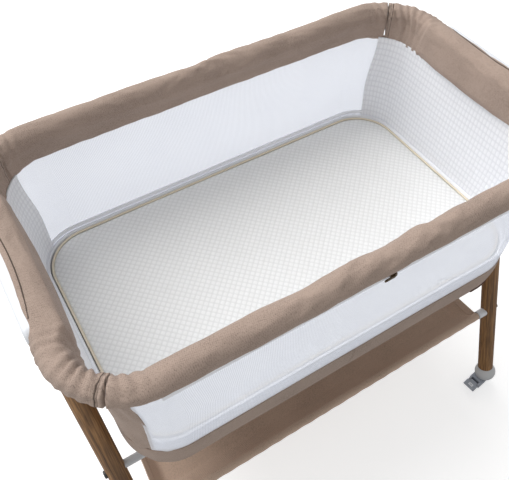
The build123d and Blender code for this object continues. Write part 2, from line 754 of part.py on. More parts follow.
SLIDER_FACE_Y = ZIP_FACE_Y - ZIP_T - SLIDER_RUN

with BuildPart() as zip_slider:
    with BuildSketch(Plane.XZ.offset(-SLIDER_FACE_Y)):
        with Locations((SLIDER_X, ZIP_Z)):
            Trapezoid(SLIDER_L, SLIDER_H, SLIDER_TAPER)
    extrude(amount=SLIDER_T)
    fillet(zip_slider.edges().filter_by(Axis.Y), SLIDER_EDGE)
save(zip_slider.part, "zip_slider")

with BuildPart() as zip_pull:
    with BuildSketch(Plane.XZ.offset(-SLIDER_FACE_Y + SLIDER_T)):
        with Locations((PULL_X, ZIP_Z)):
            SlotOverall(PULL_L, PULL_W)
        with Locations((PULL_HOLE_X, ZIP_Z)):
            Circle(PULL_HOLE_R, mode=Mode.SUBTRACT)
    extrude(amount=PULL_T)
save(zip_pull.part, "zip_pull")
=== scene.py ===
# %% [markdown]
# # A bassinet on a wheeled stand
# The frame, tubes, hubs and casters come ready from the CAD model, at their true size.
# Here the fabric parts are made over them, every surface gets its finish, and the
# object is lit on a pale floor. All lengths are metres, and +Z is up.

# %% Load the fixed frame
import json
import math
import bpy
import numpy as np
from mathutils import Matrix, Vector, noise

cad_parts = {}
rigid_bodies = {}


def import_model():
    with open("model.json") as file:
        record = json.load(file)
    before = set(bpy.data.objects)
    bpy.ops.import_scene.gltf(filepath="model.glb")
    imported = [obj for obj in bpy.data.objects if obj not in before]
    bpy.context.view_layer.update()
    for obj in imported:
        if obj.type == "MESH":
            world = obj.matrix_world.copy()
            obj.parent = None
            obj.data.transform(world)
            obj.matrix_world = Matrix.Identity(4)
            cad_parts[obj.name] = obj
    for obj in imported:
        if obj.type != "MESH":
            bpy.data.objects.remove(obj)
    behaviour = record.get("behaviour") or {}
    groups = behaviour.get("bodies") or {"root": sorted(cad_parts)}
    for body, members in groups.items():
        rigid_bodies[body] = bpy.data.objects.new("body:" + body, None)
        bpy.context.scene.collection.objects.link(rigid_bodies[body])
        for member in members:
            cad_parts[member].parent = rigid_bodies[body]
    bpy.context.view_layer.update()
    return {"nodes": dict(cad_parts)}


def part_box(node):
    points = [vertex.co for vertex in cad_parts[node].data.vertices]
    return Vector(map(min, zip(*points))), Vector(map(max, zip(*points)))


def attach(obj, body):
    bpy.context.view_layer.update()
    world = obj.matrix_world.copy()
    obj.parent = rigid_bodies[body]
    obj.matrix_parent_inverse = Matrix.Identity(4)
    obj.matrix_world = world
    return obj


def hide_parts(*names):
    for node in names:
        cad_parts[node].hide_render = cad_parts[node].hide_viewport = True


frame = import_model()

# %% [markdown]
# ## Helpers for fabric
# Fabric starts as a flat grid, as cloth does on the cutting table. A grid also brings its
# own UV map, so a weave can follow the cloth after it is bent. One function bends a grid
# into place, and another closes a bent grid into a stuffed sleeve.

# %% Cut and bend a grid
def let_go():
    """Leave edit mode and select nothing."""
    if bpy.context.mode != "OBJECT":
        bpy.ops.object.mode_set(mode="OBJECT")
    bpy.ops.object.select_all(action="DESELECT")


def bent_grid(name, across, along, place):
    """A flat grid whose point (u, v), each from 0 to 1, goes to place(u, v)."""
    let_go()
    bpy.ops.mesh.primitive_grid_add(x_subdivisions=across, y_subdivisions=along, size=1.0)
    piece = bpy.context.object
    piece.name = name
    for vertex in piece.data.vertices:
        vertex.co = place(vertex.co.x + 0.5, vertex.co.y + 0.5)
    return piece


def tidy_skin(piece, merge=0.00005, cap=False):
    """Merge doubled points, close open ends if asked, and turn the faces outward."""
    let_go()
    bpy.context.view_layer.objects.active = piece
    piece.select_set(True)
    bpy.ops.object.mode_set(mode="EDIT")
    bpy.ops.mesh.select_all(action="SELECT")
    bpy.ops.mesh.remove_doubles(threshold=merge)
    if cap:
        bpy.ops.mesh.select_all(action="DESELECT")
        bpy.ops.mesh.select_non_manifold(extend=False)
        bpy.ops.mesh.fill_holes(sides=0)
        bpy.ops.mesh.select_all(action="SELECT")
    bpy.ops.mesh.select_all(action="SELECT")
    bpy.ops.mesh.normals_make_consistent(inside=False)
    bpy.ops.object.mode_set(mode="OBJECT")
    bpy.ops.object.shade_smooth()
    return piece


def modified(piece, kind, **settings):
    """Add a modifier with these settings and apply it."""
    let_go()
    bpy.context.view_layer.objects.active = piece
    piece.select_set(True)
    modifier = piece.modifiers.new(kind.lower(), kind)
    for setting, value in settings.items():
        setattr(modifier, setting, value)
    bpy.ops.object.modifier_apply(modifier=modifier.name)
    return piece


def settle(piece, body, stands_for=()):
    """Put a finished piece on its body and hide the CAD parts it stands for."""
    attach(piece, body)
    if stands_for:
        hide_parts(*stands_for)
    print(piece.name, len(piece.data.vertices), "points")
    return piece

# %% [markdown]
# ## Walking round the bassinet
# The rail, walls, band and mattress are all rounded rectangles. One function walks round
# any of them: t runs from 0 to 12, three steps a quarter, from the middle of the front,
# and the middle step of each quarter is the corner.

# %% Walk round a rounded rectangle
def ring_at(t, half_x, half_y, corner):
    """Point and outward direction (x, y, out_x, out_y) at t on a rounded rectangle."""
    quarter = int(t // 3) % 4
    f = t % 3
    if quarter % 2:
        f = 3 - f
    run_x, run_y = half_x - corner, half_y - corner
    if f <= 1:
        x, y, out_x, out_y = run_x * f, half_y, 0.0, 1.0
    elif f <= 2:
        turn = (f - 1) * math.pi / 2
        out_x, out_y = math.sin(turn), math.cos(turn)
        x, y = run_x + corner * out_x, run_y + corner * out_y
    else:
        x, y, out_x, out_y = half_x, run_y * (3 - f), 1.0, 0.0
    side_x = (1, 1, -1, -1)[quarter]
    side_y = (-1, 1, 1, -1)[quarter]
    return side_x * x, side_y * y, side_x * out_x, side_y * out_y


def turn_at(t):
    """Angle from the long side's direction to the end's, 0 to 90 degrees, in radians."""
    quarter = int(t // 3) % 4
    f = t % 3
    if quarter % 2:
        f = 3 - f
    return min(max(f - 1, 0), 1) * math.pi / 2


def even_steps(start, end, outline, step):
    """Values of t from start to end that lie about step apart along the outline."""
    fine = np.linspace(start, end, 900)
    points = np.array([ring_at(t, *outline)[:2] for t in fine])
    run = np.concatenate([[0], np.cumsum(np.hypot(*np.diff(points, axis=0).T))])
    count = max(4, int(round(run[-1] / step)))
    return list(np.interp(np.linspace(0, run[-1], count + 1), run, fine))


def smooth(x, low, high):
    """0 below low, 1 above high, and a soft step between."""
    f = min(max((x - low) / (high - low), 0), 1)
    return f * f * (3 - 2 * f)


def ring_skin(name, stations, outline, height, section, cap=True):
    """A skin swept along stations of an outline; section(t) lists (inward, up) points."""
    loops = []
    for t in stations:
        x, y, out_x, out_y = ring_at(t, *outline)
        loops.append([(x - out_x * inn, y - out_y * inn, height + up) for inn, up in section(t)])
    rows, around = len(loops), len(loops[0])

    def place(u, v):
        return loops[round(u * (rows - 1))][round(v * around) % around]

    return tidy_skin(bent_grid(name, rows - 1, around, place), cap=cap)


def round_section(radius, count):
    """A round section, as (inward, up) points."""
    step = 2 * math.pi / count
    return [(radius * math.cos(i * step), radius * math.sin(i * step)) for i in range(count)]


def wrapped(circles, count):
    """The outline of a band stretched round circles (inward, up, radius), evenly spaced."""
    points = []
    for i in range(360):
        angle = math.radians(i)
        out = (math.cos(angle), math.sin(angle))
        far = max(circles, key=lambda c: c[0] * out[0] + c[1] * out[1] + c[2])
        points.append((far[0] + far[2] * out[0], far[1] + far[2] * out[1]))
    points.append(points[0])
    line = np.array(points)
    run = np.concatenate([[0], np.cumsum(np.hypot(*np.diff(line, axis=0).T))])
    where = np.linspace(0, run[-1], count + 1)[:-1]
    return list(zip(np.interp(where, run, line[:, 0]), np.interp(where, run, line[:, 1])))

# %% [markdown]
# ## Swelling with cloth
# Padding pushes its cover out until the cloth is taut, and the cloth puckers where it has
# nowhere to go. Blender's cloth does both: pressure swells the skin, and a skin that is a
# little too large for its shape wrinkles. The move is capped so no part leaves its place.

# %% Swell a padded piece
def swell(piece, cap, spare=0.03, frames=16, pressure=4.0, held=()):
    """Swell a closed skin by cloth pressure; none moves past cap, or near a held (x, y)."""
    before = np.array([v.co[:] for v in piece.data.vertices])
    cloth = piece.modifiers.new("swell", "CLOTH")
    cloth.settings.use_pressure = True
    cloth.settings.uniform_pressure_force = pressure
    cloth.settings.shrink_min = -spare
    cloth.settings.effector_weights.gravity = 0.0
    cloth.settings.tension_stiffness = 12.0
    cloth.settings.bending_stiffness = 0.4
    cloth.point_cache.frame_end = frames + 1
    for number in range(1, frames + 1):
        bpy.context.scene.frame_set(number)
    posed = piece.evaluated_get(bpy.context.evaluated_depsgraph_get())
    after = np.array([v.co[:] for v in posed.data.vertices])
    piece.modifiers.remove(cloth)
    move = after - before
    size = np.linalg.norm(move, axis=1, keepdims=True)
    move *= np.minimum(1.0, cap / np.maximum(size, 1e-9))
    for x, y in held:
        apart = np.hypot(before[:, 0] - x, before[:, 1] - y)
        move *= np.clip((apart - 0.026) / 0.020, 0.0, 1.0)[:, None]
    piece.data.vertices.foreach_set("co", (before + move).ravel())
    piece.data.update()
    bpy.context.scene.frame_set(1)
    print(piece.name, "swelled by up to", round(float(size.max()) * 1000, 1), "mm before the cap")
    return piece

# %% [markdown]
# ## Rail covers
# A quilted sleeve is wrapped round the top rail, and its skirt hangs down inside, where
# the walls are sewn on. There are four: the long ones turn a little way into the corners,
# where a seam joins them to the end ones. Over each hub the end sleeve is a flap that
# lies on top and stops at a curved hem, so the white hub shows outside it.

# %% Rail cover sizes
RAIL = (0.460, 0.262, 0.106)
RAIL_Z = 0.777
COVER_R = 0.0206
SKIRT_DROP = 0.048
SEAM_T = 1.0 + 40.0 / 90.0
COVER_ROUND = 56


def hub_share(t):
    """1 along the hub at the middle of an end, 0 away from it."""
    x, y, out_x, out_y = ring_at(t, *RAIL)
    return (1.0 - smooth(abs(y), 0.130, 0.158)) * smooth(abs(out_x), 0.98, 0.999)


# Folds at a corner: the turn in degrees, the width in radians and the depth in metres.
FOLDS = [
    (9.0, 0.055, 0.0016), (22.0, 0.050, 0.0024), (31.0, 0.044, 0.0026), (48.0, 0.044, 0.0040),
    (57.0, 0.042, 0.0050), (66.0, 0.044, 0.0046), (76.0, 0.046, 0.0038), (86.0, 0.055, 0.0024),
]


def skirt_share(t):
    """How much the skirt is pushed in by the hub: a wide soft bulge."""
    x, y, out_x, out_y = ring_at(t, *RAIL)
    return (1.0 - smooth(abs(y), 0.03, 0.20)) * smooth(abs(out_x), 0.5, 0.999)


def pucker(t, along):
    """Small uneven swellings of the sleeve, stronger in the corners."""
    x, y, out_x, out_y = ring_at(t, *RAIL)
    turn = turn_at(t)
    bend = math.sin(2 * turn)
    slow = noise.noise(Vector((x * 9, y * 9, along * 1.2)))
    fast = noise.noise(Vector((x * 30 + along * 1.5, y * 30 - along * 1.5, along * 2.0 + 7)))
    inner = 0.35 + 0.65 * smooth(math.cos(along - 0.5), -0.3, 0.8)
    dents = 0.0
    for place, width, depth in FOLDS:
        shift = 0.07 * noise.noise(Vector((x * 5 + place, y * 5, 2.0)))
        gap = turn - math.radians(place) + shift + 0.10 * math.sin(along - 0.4)
        ridge = 0.45 * math.exp(-((gap - 1.7 * width) / width) ** 2)
        dents += depth * (math.exp(-(gap / width) ** 2) - ridge)
    near_seam = math.exp(-((math.degrees(turn) - 40) / 10) ** 2)
    by_hub = math.exp(-((abs(y) - 0.150) / 0.022) ** 2) * smooth(abs(out_x), 0.5, 0.99)
    pinch = 0.0011 * near_seam * math.sin(along * 8 + 3 * slow)
    pinch += 0.0015 * by_hub * math.sin(abs(y) * 420 + along * 2.4)
    return 0.0014 * slow + 0.0013 * fast - dents * inner * smooth(bend, 0.02, 0.35) + pinch


def cover_section(t):
    """The sleeve with its skirt: a roll on the rail, drawn in to a hem inside."""
    turn = turn_at(t)
    hub = hub_share(t)
    skirt = 0.0085 + 0.020 * math.sin(turn) - 0.003 * math.cos(turn)
    skirt += 0.0095 * skirt_share(t)
    wave = 0.0012 * noise.noise(Vector((t * 2.3, 5.0, 1.0)))
    circles = [
        (0.0, 0.0, COVER_R),
        (0.022 * hub, 0.0148 * hub, 0.006 + (COVER_R - 0.006) * (1 - hub)),
        (0.027 * hub, 0.0, 0.004 + (COVER_R - 0.004) * (1 - hub)),
        (skirt, -SKIRT_DROP + wave, 0.0024),
    ]
    points = []
    for inward, up in wrapped(circles, COVER_ROUND):
        around = math.atan2(up, inward)
        out = pucker(t, around)
        grip = math.exp(-((up + 0.026) / 0.009) ** 2) * (1 - hub)
        waist = 0.0022 * grip if inward > skirt * 0.5 else 0.0010 * grip
        reach = math.hypot(inward, up) or 1.0
        scale = 1 + (out - waist) / reach
        points.append((inward * scale, up * scale))
    return points


def hem_line(y):
    """How far from the middle the curved hem over a hub stands, at this y."""
    share = min(1.0, (y / 0.116) ** 2)
    return 0.487 - 0.0215 * math.sqrt(max(0.0, 1 - share))


def keep_in_hem(piece):
    """Draw the sleeve's outer side back behind the hem, where the hub covers it."""
    for vertex in piece.data.vertices:
        if abs(vertex.co.y) < 0.1155:
            edge = hem_line(vertex.co.y)
            if abs(vertex.co.x) > edge:
                vertex.co.x = math.copysign(edge, vertex.co.x)
    return piece

# %% [markdown]
# The covers are cut a little too long for the corners, so each one is swept with its folds
# in place and then swollen. Its two ends are held still, so that the seams stay clean.

# %% Make the four covers
COVERS = {
    "front": (-SEAM_T, SEAM_T),
    "right": (SEAM_T, 6 - SEAM_T),
    "back": (6 - SEAM_T, 6 + SEAM_T),
    "left": (6 + SEAM_T, 12 - SEAM_T),
}
covers = {}
for side, (start, end) in COVERS.items():
    stations = even_steps(start, end, RAIL, 0.0042)
    cover = ring_skin(f"padded_cover_{side}", stations, RAIL, RAIL_Z, cover_section)
    swell(cover, 0.0022, held=[ring_at(t, *RAIL)[:2] for t in (start, end)])
    if side in ("left", "right"):
        keep_in_hem(cover)
    covers[side] = settle(cover, "frame", (f"rail_cover_{side}",))

# %% [markdown]
# ## Seams of the covers
# Each pair of covers meets at a seam across the corner. A real one is a folded edge with
# a row of stitches: a slim raised band beside a dark line. Both are swept a millimetre
# outside the sleeve, and Shrinkwrap then lays them on it.

# %% Corner seams
def grown(section, by):
    """A section moved outward by a small amount."""
    middle_in = sum(p[0] for p in section) / len(section)
    middle_up = sum(p[1] for p in section) / len(section)
    result = []
    for inward, up in section:
        way = Vector((inward - middle_in, up - middle_up))
        way.normalize()
        result.append((inward + way.x * by, up + way.y * by))
    return result


def hug(strip, cover, lift, thickness):
    """Lay a strip on a cover, then give it a little thickness."""
    modified(strip, "SHRINKWRAP", target=cover, wrap_method="NEAREST_SURFACEPOINT",
             wrap_mode="ABOVE_SURFACE", offset=lift)
    modified(strip, "SOLIDIFY", thickness=thickness, offset=0.0)
    bpy.ops.object.shade_smooth()
    return strip


# One millimetre along a corner of the rail, as a share of t.
MM = 1.0 / 166.0
SEAMS = [
    ("front_right", SEAM_T, 1, "right"), ("back_right", 6 - SEAM_T, -1, "right"),
    ("back_left", 6 + SEAM_T, 1, "left"), ("front_left", 12 - SEAM_T, -1, "left"),
]
for place_name, middle, away, cover_name in SEAMS:
    fold = [middle + away * MM * step for step in (4.4, 5.4, 7.0, 8.6, 9.8)]
    band = ring_skin(f"seam_fold_{place_name}", fold, RAIL, RAIL_Z,
                     lambda t: grown(cover_section(t), 0.001), cap=False)
    settle(hug(band, covers[cover_name], 0.0002, 0.0006), "frame")
    line = [middle + away * MM * step for step in (3.0, 3.6, 4.2)]
    groove = ring_skin(f"seam_shadow_{place_name}", line, RAIL, RAIL_Z,
                       lambda t: grown(cover_section(t), 0.001), cap=False)
    settle(hug(groove, covers[cover_name], 0.0001, 0.0005), "frame")

# %% [markdown]
# The flap over each hub has a stitch line inside its curved hem. It is a narrow strip,
# laid on the cover in the same way as the seams.

# %% Hem stitching over the hubs
def hem_run(sign):
    """Points of the stitch line, on top of the flap, a little inside its hem."""
    points = []
    for i in range(61):
        y = -0.105 + 0.21 * i / 60
        points.append(Vector((sign * (hem_line(y) - 0.0085), y, RAIL_Z + 0.0209)))
    return points


for end, sign in (("right", 1), ("left", -1)):
    run = hem_run(sign)

    def stitch_at(u, v, run=run):
        spot = run[round(u * 60)]
        return spot.x + 0.0018 * (v - 0.5), spot.y, spot.z + 0.002

    stitches = bent_grid(f"hem_line_{end}", 60, 2, stitch_at)
    settle(hug(stitches, covers[end], 0.0003, 0.0006), "frame")

# %% [markdown]
# ## Walls
# The long walls are fine air mesh, stretched between the rail and the band, and the ends
# and corners are taupe cloth outside with a quilted lining inside. Each wall leans in a
# little as it goes down, so its outline is worked out afresh at each height.

# %% Wall shape
WALL_TOP_Z = 0.736
BODY_TOP = (0.726, 0.434, 0.259, 0.100)
BODY_MID = (0.495, 0.421, 0.2525, 0.092)
BODY_LOW = (0.420, 0.417, 0.243, 0.088)
SEAM_X = 0.388


def outline_at(z, inset):
    """The body's rounded rectangle at height z, pulled in by inset."""
    low, high = (BODY_MID, BODY_TOP) if z > BODY_MID[0] else (BODY_LOW, BODY_MID)
    f = (z - low[0]) / (high[0] - low[0])
    sizes = [low[i] + (high[i] - low[i]) * f for i in (1, 2, 3)]
    return sizes[0] - inset, sizes[1] - inset, sizes[2] - inset


def seam_step(z, inset):
    """The t where the mesh is sewn to the corner cloth, at height z."""
    half_x, half_y, corner = outline_at(z, inset)
    seam_x = SEAM_X + 0.012 * smooth(z, 0.60, 0.73)
    sine = min(1.0, max(0.0, (seam_x - (half_x - corner)) / corner))
    return 1 + math.asin(sine) / (math.pi / 2)


def wall_point(t, z, inset, ripple=0.0):
    """A point of a wall, moved outward by ripple."""
    x, y, out_x, out_y = ring_at(t, *outline_at(z, inset))
    return x + out_x * ripple, y + out_y * ripple, z


def flat_area(piece):
    """The area of a single layer of cloth."""
    return sum(p.area for p in piece.data.polygons)


def as_sheet(piece, width, thickness):
    area = flat_area(piece)
    modified(piece, "SOLIDIFY", thickness=thickness, offset=0.0)
    bpy.ops.object.shade_smooth()
    print(piece.name, "cut to", round(width, 3), "by", round(area / width, 3), "m")
    return piece

# %% [markdown]
# Each wall is a grid bent to the outline and given its thickness.
# Small ripples make it look like cloth under tension.

# %% Mesh windows
for side, middle in (("front", 0.0), ("back", 6.0)):
    def window_at(u, v, middle=middle):
        z = BODY_MID[0] - 0.004 + (WALL_TOP_Z - BODY_MID[0] + 0.004) * v
        reach = seam_step(z, 0.0008) + 0.03
        belly = 0.0016 * math.sin(math.pi * v) * math.sin(math.pi * u)
        slack = 0.0007 * noise.noise(Vector((u * 7 + middle, v * 2, 3.0)))
        return wall_point(middle - reach + 2 * reach * u, z, 0.0008, slack - belly)

    window = bent_grid(f"air_mesh_{side}", 130, 34, window_at)
    as_sheet(window, 0.245, 0.0012)
    settle(window, "frame", (f"mesh_{side}",))

# %% End cloth, outside
def drawn_in(u, v):
    """Soft upright folds near the two seams, where the cloth was eased in."""
    edge = max(math.exp(-(u / 0.13) ** 2), math.exp(-((1 - u) / 0.13) ** 2))
    folds = math.sin(u * 75 + 5 * v + 4 * noise.noise(Vector((u * 5, v * 3, 2.0))))
    slow = noise.noise(Vector((u * 6, v * 2.5, 9.0)))
    sharp = noise.noise(Vector((u * 22, v * 6, 4.0)))
    ripple = 0.0020 * slow + 0.0018 * edge * folds + 0.0014 * edge * sharp
    return max(-0.0010, ripple) * smooth(min(u, 1 - u), 0.0, 0.03)


for end, middle in (("right", 3.0), ("left", 9.0)):
    def panel_at(u, v, middle=middle):
        z = BODY_MID[0] - 0.004 + (WALL_TOP_Z - BODY_MID[0] + 0.004) * v
        reach = 3.0 - seam_step(z, 0.001)
        return wall_point(middle - reach + 2 * reach * u, z, 0.001, drawn_in(u, v))

    panel = bent_grid(f"end_cloth_{end}", 150, 34, panel_at)
    as_sheet(panel, 0.245, 0.0016)
    settle(panel, "frame", (f"end_panel_{end}",))

# %% End lining, inside
QUILT = 0.014
LINING_LOW = 0.477


def quilt_rise(along, z):
    """The puff of one small quilted square."""
    return 0.0009 * (abs(math.sin(math.pi * along / QUILT)) * abs(math.sin(math.pi * z / QUILT))) ** 0.5


for end, middle in (("right", 3.0), ("left", 9.0)):
    def lining_at(u, v, middle=middle):
        z = LINING_LOW + (WALL_TOP_Z - LINING_LOW - 0.003) * v
        reach = 3.0 - seam_step(z, 0.0045) + 0.035
        t = middle - reach + 2 * reach * u
        slow = 0.0008 * noise.noise(Vector((u * 8, v * 3, 4.0)))
        puff = 0.3 * quilt_rise(u * 0.78, z)
        return wall_point(t, z, 0.0045, slow - puff)

    lining = bent_grid(f"quilted_lining_{end}", 264, 84, lining_at)
    modified(lining, "SOLIDIFY", thickness=0.0022, offset=0.0)
    bpy.ops.object.shade_smooth()
    settle(lining, "frame", (f"end_lining_{end}",))

# %% [markdown]
# ## Band, bindings and bottom
# Below the mesh a taupe band goes right round, gathered a little under the corners. A
# pale binding covers the seam inside, just above the mattress.

# %% Bottom band
def band_at(u, v):
    t = 12 * u
    z = BODY_LOW[0] + (BODY_MID[0] + 0.004 - BODY_LOW[0]) * v
    corner = math.sin(2 * turn_at(t)) + 0.12
    gathers = math.sin(t * 21 + 2 * noise.noise(Vector((t * 2, v, 0.0)))) * (0.35 + 0.65 * v)
    slow = noise.noise(Vector((t * 2.1, v * 2.0, 6.0)))
    belly = 0.0030 * math.sin(math.pi * v)
    return wall_point(t, z, 0.0005, 0.0009 * corner * gathers + 0.0012 * slow + belly)


band_steps = even_steps(0, 12, (0.421, 0.2525, 0.092), 0.0055)


def band_place(u, v):
    return band_at(band_steps[round(u * (len(band_steps) - 1))] / 12, v)


band = tidy_skin(bent_grid("bottom_cloth_band", len(band_steps) - 1, 18, band_place))
as_sheet(band, 0.08, 0.0018)
settle(band, "frame", ("bottom_band",))


def bottom_at(u, v):
    x, y, out_x, out_y = ring_at(12 * u, BODY_LOW[1] - 0.002, BODY_LOW[2] - 0.002, BODY_LOW[3] - 0.002)
    sag = 0.0006 * noise.noise(Vector((x * v * 9, y * v * 9, 0.0)))
    return x * v, y * v, BODY_LOW[0] + 0.0012 + sag


bottom = tidy_skin(bent_grid("bottom_cloth", 180, 24, bottom_at), merge=0.0002)
as_sheet(bottom, 0.48, 0.0016)
settle(bottom, "frame", ("bottom_panel",))

# %% Bindings, and the painted shade of the corner slit
def flat_strip(thick, tall, count=10):
    """A slim strip's section with rounded edges."""
    return wrapped([(0, -tall / 2 + thick / 2, thick / 2), (0, tall / 2 - thick / 2, thick / 2)], count)


strip = flat_strip(0.0022, 0.011)
for side, middle in (("front", 0.0), ("back", 6.0)):
    outline = outline_at(0.535, 0.0032)
    steps = even_steps(middle - 1.44, middle + 1.44, outline, 0.01)
    binding = ring_skin(f"pale_binding_{side}", steps, outline, 0.535, lambda t: strip)
    settle(binding, "frame")

BUMPER = outline_at(0.505, 0.0068)
bumper_section = wrapped([(-0.0012, -0.026, 0.0026), (0.0013, -0.026, 0.0026), (0.0, 0.0235, 0.0039)], 16)
steps = even_steps(0, 12, BUMPER, 0.007)
bumper = ring_skin("pale_bumper", steps, BUMPER, 0.5035, lambda t: bumper_section, cap=False)
settle(bumper, "frame")

# A dark brown line low on the band at the front right corner, where the hem opens in a slit: painted
# shade of that opening.
outline = outline_at(0.4335, -0.0034)
steps = even_steps(0.955, 2.1, outline, 0.006)
piping = ring_skin("corner_piping", steps, outline, 0.4335, lambda t: round_section(0.0019, 10))
settle(piping, "frame")

# %% [markdown]
# ## Mattress
# A foam pad in a quilted cover with a beige piping round its top edge. Its skin runs in
# rings from the middle of the top, over a rounded edge and down the sides, to the middle
# of the bottom. It swells a little, and its top is slightly crowned and uneven.

# %% Mattress pad
low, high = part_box("mattress")
MATTRESS = (high.x + 0.0025, high.y - 0.0008, 0.0865)
EDGE = 0.0085


def pad_profile():
    """(share of the outline, inset, height) from the middle of the top to that of the bottom."""
    top, base = high.z - 0.0022, low.z + 0.0004
    rows = [(share, 0.0, top + 0.0016 * (1 - share ** 6)) for share in np.linspace(0.0, 0.93, 36)]
    rows.append((0.955, 0.0, top))
    for step in range(6):
        angle = math.radians(90 - 18 * step)
        rows.append((1.0, EDGE * (1 - math.cos(angle)), top - EDGE * (1 - math.sin(angle))))
    for step in range(1, 6):
        f = step / 6
        rows.append((1.0, -0.0007 * math.sin(math.pi * f), top - EDGE - (top - base - 2 * EDGE) * f))
    for step in range(6):
        angle = math.radians(18 * step)
        rows.append((1.0, EDGE * (1 - math.cos(angle)), base + EDGE * (1 - math.sin(angle))))
    rows += [(share, 0.0, base) for share in np.linspace(0.93, 0.0, 8)]
    return rows


pad_rows = pad_profile()
pad_steps = even_steps(0, 12, MATTRESS, 0.0085)


def pad_at(u, v):
    t = pad_steps[round(u * (len(pad_steps) - 1))]
    share, inset, z = pad_rows[round(v * (len(pad_rows) - 1))]
    x, y, out_x, out_y = ring_at(t, *MATTRESS)
    return (x - out_x * inset) * share, (y - out_y * inset) * share, z


pad = tidy_skin(bent_grid("mattress_pad", len(pad_steps) - 1, len(pad_rows) - 1, pad_at))
swell(pad, 0.0012, spare=0.010)
for vertex in pad.data.vertices:
    x, y, z = vertex.co
    near_top = smooth(z, high.z - 0.02, high.z - 0.004)
    dip = 0.0011 * noise.noise(Vector((x * 7, y * 7, 2.0))) * near_top
    vertex.co = (x, max(-MATTRESS[1], min(MATTRESS[1], y)), max(low.z, z + dip))
settle(pad, "mattress", ("mattress",))

# %% Mattress piping
PIPING = (MATTRESS[0] - 0.0022, MATTRESS[1] - 0.0022, MATTRESS[2] - 0.0022)
steps = even_steps(0, 12, PIPING, 0.0065)[:-1]
loops = []
for t in steps:
    x, y, out_x, out_y = ring_at(t, *PIPING)
    wave = 0.0006 * noise.noise(Vector((t * 4, 0.0, 2.0)))
    middle_z = high.z - 0.0030 + wave
    loops.append([(x - out_x * a, y - out_y * a, middle_z + b) for a, b in round_section(0.0024, 10)])


def cord_at(u, v):
    return loops[round(u * len(loops)) % len(loops)][round(v * 10) % 10]


cording = tidy_skin(bent_grid("mattress_piping", len(loops), 10, cord_at))
settle(cording, "mattress")

# %% [markdown]
# ## Hammock shelf
# One cloth hangs between the two rods. Its long edges wrap round them as sleeves, and its
# short ends are turned up and mitred, so it makes a shallow tray that sags in the middle.

# %% Shelf cloth
SHELF_X = 0.416
SHELF_Y = 0.236
ROD_Y = 0.24125
ROD_Z = 0.242
FLOOR_Z = 0.2075


def shelf_at(u, v):
    y = (2 * v - 1) * SHELF_Y
    end_x = SHELF_X - 0.012 * (1 - (y / SHELF_Y) ** 2)
    x = (2 * u - 1) * end_x
    slope_x = min(1.0, max(0.0, (abs(x) - (end_x - 0.026)) / 0.026))
    slope_y = min(1.0, max(0.0, (abs(y) - 0.200) / 0.036))
    rise = max(slope_x, slope_y)
    sag = -0.0035 * (1 - (x / SHELF_X) ** 2) * (1 - (y / 0.2) ** 2) if rise == 0 else 0.0
    pull = 0.0016 * noise.noise(Vector((x * 9, y * 9, 1.0))) * (1 - rise * 0.7)
    crease = 0.0010 * math.sin(x * 60 + 3 * y * 10) * slope_y * (1 - slope_y) * 4
    return x, y, FLOOR_Z + (ROD_Z + 0.002 - FLOOR_Z) * rise + sag + pull + crease


shelf = bent_grid("shelf_cloth", 168, 100, shelf_at)
as_sheet(shelf, 0.5, 0.0018)
settle(shelf, "frame", ("storage_shelf",))

# %% Rod sleeves and end hems
for side, sign in (("front", -1), ("back", 1)):
    def sleeve_at(u, v, sign=sign):
        x = (2 * u - 1) * (SHELF_X - 0.001)
        around = 2 * math.pi * v
        soft = 0.0005 * noise.noise(Vector((x * 22, math.cos(around), math.sin(around) + sign)))
        radius = 0.0089 + soft + 0.0004 * math.sin(x * 160)
        return x, sign * ROD_Y + radius * math.cos(around), ROD_Z + radius * math.sin(around)

    sleeve = tidy_skin(bent_grid(f"rod_sleeve_{side}", 160, 20, sleeve_at))
    settle(sleeve, "frame")

for side, sign in (("front", -1), ("back", 1)):
    def fold_at(u, v, sign=sign):
        angle = 2 * math.pi * v
        spot = shelf_at(0.034 + 0.932 * u, 0.5 + sign * 0.5 * 0.2005 / SHELF_Y)
        return spot[0], spot[1] + 0.0009 * math.cos(angle), spot[2] + 0.0010 + 0.0006 * math.sin(angle)

    settle(tidy_skin(bent_grid(f"shelf_line_{side}", 150, 6, fold_at)), "frame")

for end, sign in (("right", 1), ("left", -1)):
    def hem_at(u, v, sign=sign):
        y = (2 * v - 1) * (SHELF_Y - 0.004)
        share = 1 - (0.5 - 0.5 * u) * 0.046
        point = shelf_at((1 + sign * share) / 2, (y / SHELF_Y + 1) / 2)
        return point[0], point[1], point[2] + 0.0014 + 0.0004 * noise.noise(Vector((y * 30, u, 2.0)))

    hem = bent_grid(f"shelf_hem_{end}", 6, 70, hem_at)
    modified(hem, "SOLIDIFY", thickness=0.0016, offset=0.0)
    bpy.ops.object.shade_smooth()
    settle(hem, "frame")

# %% [markdown]
# ## Pedal tabs
# Each brake pedal carries a small white tab with a slot. It is modelled once, as a
# bevelled block with its slot pressed in, then copied to the four pedals.

# %% Pedal tabs
SWIVEL = (0.451585, 0.315125)
PEDAL_REACH = 0.0497
PEDAL_TOP = 0.0288
PEDAL_TURN = 7.0


def pedal_spot(corner):
    """The middle of a pedal's top and its direction from the swivel axis, in plan."""
    sign_x = -1 if "right" in corner else 1
    sign_y = 1 if "back" in corner else -1
    turn = math.radians(PEDAL_TURN)
    way = Vector((sign_x * math.cos(turn), sign_y * math.sin(turn), 0))
    axis_x = math.copysign(SWIVEL[0], -sign_x)
    axis_y = math.copysign(SWIVEL[1], sign_y)
    return Vector((axis_x, axis_y, PEDAL_TOP)) + way * PEDAL_REACH, way


